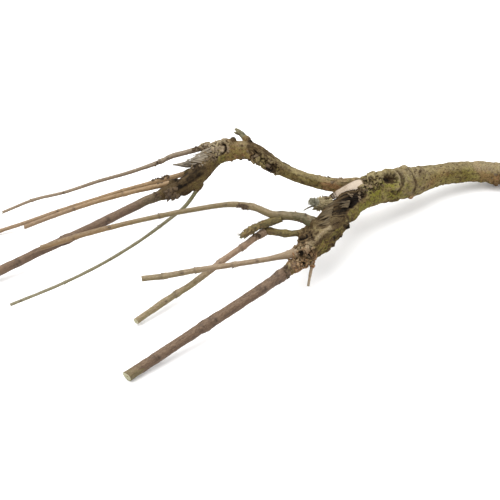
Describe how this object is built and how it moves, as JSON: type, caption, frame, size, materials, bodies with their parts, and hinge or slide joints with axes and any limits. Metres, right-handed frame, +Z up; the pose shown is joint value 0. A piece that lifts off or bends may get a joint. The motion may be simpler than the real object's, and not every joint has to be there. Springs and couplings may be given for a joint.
{
  "type": "pruned lilac branch",
  "caption": "Bare pruned lilac branch lying on its side: a thick gnarled limb that forks into older arms, with straight cut shoots, spurs, stubs and lichen.",
  "frame": {"origin": "centre of the branch's bounding box, on the surface it lies on", "axes": "+X towards the sawn end of the main limb, +Y towards the back, +Z up from the surface"},
  "size_m": [0.5204, 0.2748, 0.0739],
  "materials": {
    "old_bark": "rough olive-grey bark with green algae, fissured and knotted",
    "sawn_wood": "pale sawn end grain, matt",
    "dead_wood": "weathered grey fibrous dead wood",
    "purple_bark": "smooth purple-brown young bark with lenticels",
    "olive_bark": "dark olive spur bark, scaly",
    "tan_bark": "smooth tan young bark",
    "pink_bark": "smooth pinkish-tan young bark",
    "thin_bark": "thin grey-tan twig bark",
    "lichen": "pale grey-green lichen over bark, matt"
  },
  "bodies": {
    "root": {"main_limb": "old_bark", "upper_arm": "old_bark", "sawn_stub": "sawn_wood", "snapped_stub": "dead_wood", "thick_cut_shoot": "purple_bark", "green_spur": "olive_bark", "arching_shoot": "tan_bark", "middle_cut_shoot": "pink_bark", "crossing_shoot": "pink_bark", "old_spur": "olive_bark", "dead_twig": "thin_bark", "lichen_spur": "lichen", "fine_twiglet": "olive_bark", "dark_cut_shoot": "purple_bark", "top_thin_shoot": "thin_bark", "tan_back_shoot": "tan_bark", "tan_front_shoot": "tan_bark", "trailing_thin_shoot": "thin_bark", "dead_spike": "dead_wood", "lichen_tuft": "lichen"}
  },
  "joints": []
}
